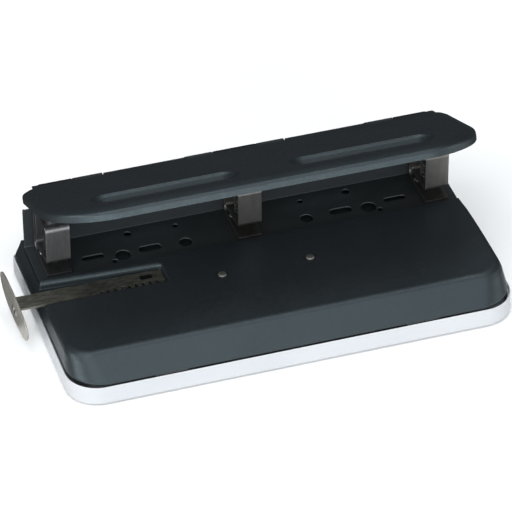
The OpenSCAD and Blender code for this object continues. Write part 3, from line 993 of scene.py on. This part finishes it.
REAR_WALL = [(0.0, 0.0), (0.15, 0.06), (0.32, 0.22), (0.55, 0.5), (0.8, 0.84), (1.1, 1.2), (1.45, 1.5), (1.85, 1.8), (2.3, 2.12), (2.8, 2.47), (3.4, 2.9), (4.0, 3.32),
             (4.6, 3.68), (5.2, 3.9), (6.0, 4.0)]
FRONT_WALL = [(0.0, 0.0), (0.15, 0.02), (0.32, 0.07), (0.55, 0.17), (0.8, 0.3), (1.1, 0.48), (1.85, 1.02), (3.4, 2.2), (4.6, 3.04), (5.2, 3.38), (6.0, 3.72), (7.0, 3.95), (8.2, 4.0)]


def groove_depth(x, y, e, cy, hw):
    w = max(0.0, min(1.0, 0.15 + 2 * (y - cy) / hw))
    w = w * w * (3 - 2 * w)
    return w * along(REAR_WALL, e) + (1 - w) * along(FRONT_WALL, e)


put("lever_plate", *lever(), M_ENAMEL, "lever", "black_enamel", ["lever_handle"], angle=60)


def pressers():
    c = rot2([PIN_Y - HY, 3.2], -RAISE)
    top = LT - 1.2 - 0.02
    P = arc(c[0], c[1], 2.5, 180, 360, 20) + [(c[0] + 2.5, top), (c[0] - 2.5, top)]
    V, F = merge(*[moved(slab3(P, -5, 5, 0.3, axis="x"), (k * PITCH, 0, 0)) for k in (-1, 0, 1)])
    return raised(V), F


put("pressers", *pressers(), M_ZINC, "lever", "zinc", ["pin_pressers"])


def rod():
    prof = [(0.01, -112.1), (1.7, -112.1), (2.15, -111.9), (2.3, -111.6), (2.3, -110.9), (2.0, -110.85), (2.0, 110.85), (2.3, 110.9), (2.3, 111.6), (2.15, 111.9), (1.7, 112.1), (0.01, 112.1)]
    return moved(revolve(prof, 32, "x"), (0, HY, HZ))


put("hinge_rod_turned", *rod(), M_ZINC, "base", "zinc", ["hinge_rod"])


def cover_rivets():
    prof = [(0.01, 2.5), (0.5, 2.5), (1.0, 2.48), (1.5, 2.42), (1.9, 2.28), (2.2, 2.06), (2.38, 1.75), (2.4, 1.55), (2.3, 1.45), (0.01, 1.45)]
    one = merge(revolve(prof, 36), revolve([(0.01, -1.2), (2.4, -1.2), (2.6, -1.0), (2.6, -0.42), (0.01, -0.42)], 32),
                revolve([(0.01, -1.0), (1.88, -1.0), (1.88, 1.6), (0.01, 1.6)], 28))
    return merge(moved(one, (24.9, -28, 0)), moved(one, (-24.9, -28, 0)))


put("cover_rivet_pair", *cover_rivets(), M_RIVET, "base", "rivet", ["cover_rivets"])

# ------------------------------------------------------------------ paper guide


def rule():
    f, r = -20.2, -9.2
    P = [(-135.9, f)]
    for i in range(9):
        x = -91.2 + 3.9 * i
        P += [(x, f), (x + 0.3, f + 1.8), (x + 0.75, f + 2.3), (x + 1.35, f + 2.3), (x + 1.8, f + 1.8), (x + 2.1, f)]
    P += [(-54.9, f), (-54.3, f + 0.6), (-54.3, r - 0.6), (-54.9, r), (-135.9, r)]
    win = fillet([(-67.2, -15.4), (-60.2, -15.4), (-60.2, -11.9), (-67.2, -11.9)], 1.2, 5)
    plate = slab3(P, -2.6, -1.4, 0.14, [win], steps=2)
    tab = slab3(fillet([(-18.7, -9), (-10.7, -9), (-10.7, -1.9), (-18.7, -1.9)], [2.0, 2.0, 0.01, 0.01], 5), -136.2, -135.0, 0.15, axis="x")
    return merge(plate, tab)


o = put("rule", *rule(), M_RULE, "paper_guide", "rule_steel", ["guide_rule"], angle=34)
ticks = []
for i in range(15):
    x = -128.0 + 5.2 * i
    if x > -58:
        break
    long = i % 4 == 0
    ticks.append(slab3([(x, -11.2 - (4.6 if long else 2.6)), (x + 0.5, -11.2 - (4.6 if long else 2.6)), (x + 0.5, -10.0), (x, -10.0)], -1.52, -1.2, 0.001, steps=1))
cut(o, merge(*ticks))


def stop():
    P = [(15.6, -2.2), (13.4, -0.3), (9, 1.2), (0, 2.3), (-10, 2.6), (-20, 2.4), (-30, 1.8), (-36, 0.6), (-39.4, -1.6), (-40.6, -4.8),
         (-39.2, -8.2), (-35.4, -10.9), (-29, -12.7), (-20, -13.7), (-10, -14.2), (-2, -14.1), (5, -13.1), (10.6, -11.1), (14.4, -8.1), (16.2, -4.8)]
    return slab3(chaikin(P, times=2), -137.5, -136.25, 0.4, axis="x", steps=4)


put("stop_plate", *stop(), M_STOP, "paper_guide", "stop_steel", ["guide_stop"], angle=45)


def guide_rivets():
    out = []
    for y in (-16.9, -12.5):
        head = revolve([(0.01, -138.1), (0.9, -138.05), (1.5, -137.86), (1.8, -137.55), (1.8, -137.5), (0.01, -137.5)], 28, "x")
        tail = revolve([(0.01, -134.98), (1.6, -134.98), (1.6, -134.7), (1.2, -134.45), (0.01, -134.4)], 28, "x")
        out += [moved(q, (0, y, -5.8)) for q in (head, tail, revolve([(0.01, -137.8), (1.0, -137.8), (1.0, -134.7), (0.01, -134.7)], 24, "x"))]
    return merge(*out)


put("guide_rivet_pair", *guide_rivets(), M_ZINC, "paper_guide", "zinc", ["guide_rivets"])

# ------------------------------------------------------------------ CAD pieces that stay


def dress(node, mat, width=0.12, slot=None):
    o = NODES[node]
    o.data.materials.clear()
    o.data.materials.append(mat)
    b = o.modifiers.new("edges", "BEVEL")
    b.width = width * 0.001
    b.segments = 2
    b.limit_method = "ANGLE"
    b.angle_limit = math.radians(40)
    b.harden_normals = False


dress("tray_catch", M_SPRING, 0.08)
dress("tray_hinge_lower", M_ZINC)
dress("tray_hinge_upper", M_DARK)
dress("tray_hinge_pins", M_ZINC)
dress("cover_brace", M_ZINC)
dress("guide_key", M_DARK)
dress("guide_detent", M_SPRING, 0.08)

# ------------------------------------------------------------------ floor, light, camera


def floor(name, y0, y1, m, shiny):
    nx, ny, w = 12, 8, 3.0
    V = [(-w + 2 * w * i / nx, y0 + (y1 - y0) * j / ny, 0.0) for j in range(ny + 1) for i in range(nx + 1)]
    F = [[j * (nx + 1) + i, j * (nx + 1) + i + 1, (j + 1) * (nx + 1) + i + 1, (j + 1) * (nx + 1) + i] for j in range(ny) for i in range(nx)]
    me = bpy.data.meshes.new(name)
    me.from_pydata(V, [], F)
    o = bpy.data.objects.new(name, me)
    bpy.context.scene.collection.objects.link(o)
    me.materials.append(m)
    o.visible_glossy = shiny


M_FLOOR = Mat("pale_floor").set(Base_Color=(0.93, 0.93, 0.93, 1), Roughness=0.9, Specular_IOR_Level=0.1).m
floor("floor_front", -3.0, 0.015, M_FLOOR, True)
floor("floor_rear", 0.015, 3.0, M_FLOOR, False)


def softbox(name, pos, target, w, h, power, color=(1, 1, 1)):
    d = bpy.data.lights.new(name, "AREA")
    d.shape = "RECTANGLE"
    d.size, d.size_y = w, h
    d.energy = power
    d.color = color
    o = bpy.data.objects.new(name, d)
    bpy.context.scene.collection.objects.link(o)
    o.location = pos
    v = Vector(target) - Vector(pos)
    o.rotation_euler = v.to_track_quat("-Z", "Y").to_euler()
    return o


softbox("front_high", (-0.10, -1.15, 1.85), (0, 0, 0.03), 2.2, 1.3, 25, (0.95, 0.98, 1.0))
softbox("overhead", (-0.10, 0.18, 2.3), (0, 0.0, 0.03), 2.4, 0.9, 27, (0.95, 0.98, 1.0))
softbox("front_low", (-0.55, -2.0, 0.50), (0, 0, 0.04), 3.2, 0.6, 45, (0.95, 0.98, 1.0))
softbox("left_low", (-1.75, -0.5, 0.9), (0, 0, 0.04), 1.2, 1.0, 22)
softbox("right_low", (1.9, -0.9, 0.8), (0, 0, 0.04), 1.6, 1.4, 17)

world = bpy.data.worlds.new("studio")
bpy.context.scene.world = world
world.use_nodes = True
bg = world.node_tree.nodes["Background"]
bg.inputs["Color"].default_value = (0.93, 0.96, 1.0, 1)
bg.inputs["Strength"].default_value = 0.068

cam = bpy.data.cameras.new("camera")
cam.sensor_width = 36.0
cam.lens = 3812.32151 / 512 * 36.0
cam.clip_start, cam.clip_end = 0.05, 50.0
co = bpy.data.objects.new("camera", cam)
bpy.context.scene.collection.objects.link(co)
right = Vector((0.95343796, -0.30155336, -0.00465028))
up = Vector((0.18795994, 0.5820836, 0.79110665))
fwd = Vector((0.23585402, 0.75514518, -0.61166056))
rot = Matrix((right, up, -fwd)).transposed().to_4x4()
co.matrix_world = Matrix.Translation(Vector((-0.49064971, -1.55715856, 1.28994943))) @ rot
bpy.context.scene.camera = co
bpy.context.scene.view_settings.view_transform = "Standard"
bpy.context.scene.view_settings.look = "None"
bpy.context.scene.view_settings.exposure = 0.0
bpy.context.scene.view_settings.gamma = 1.0
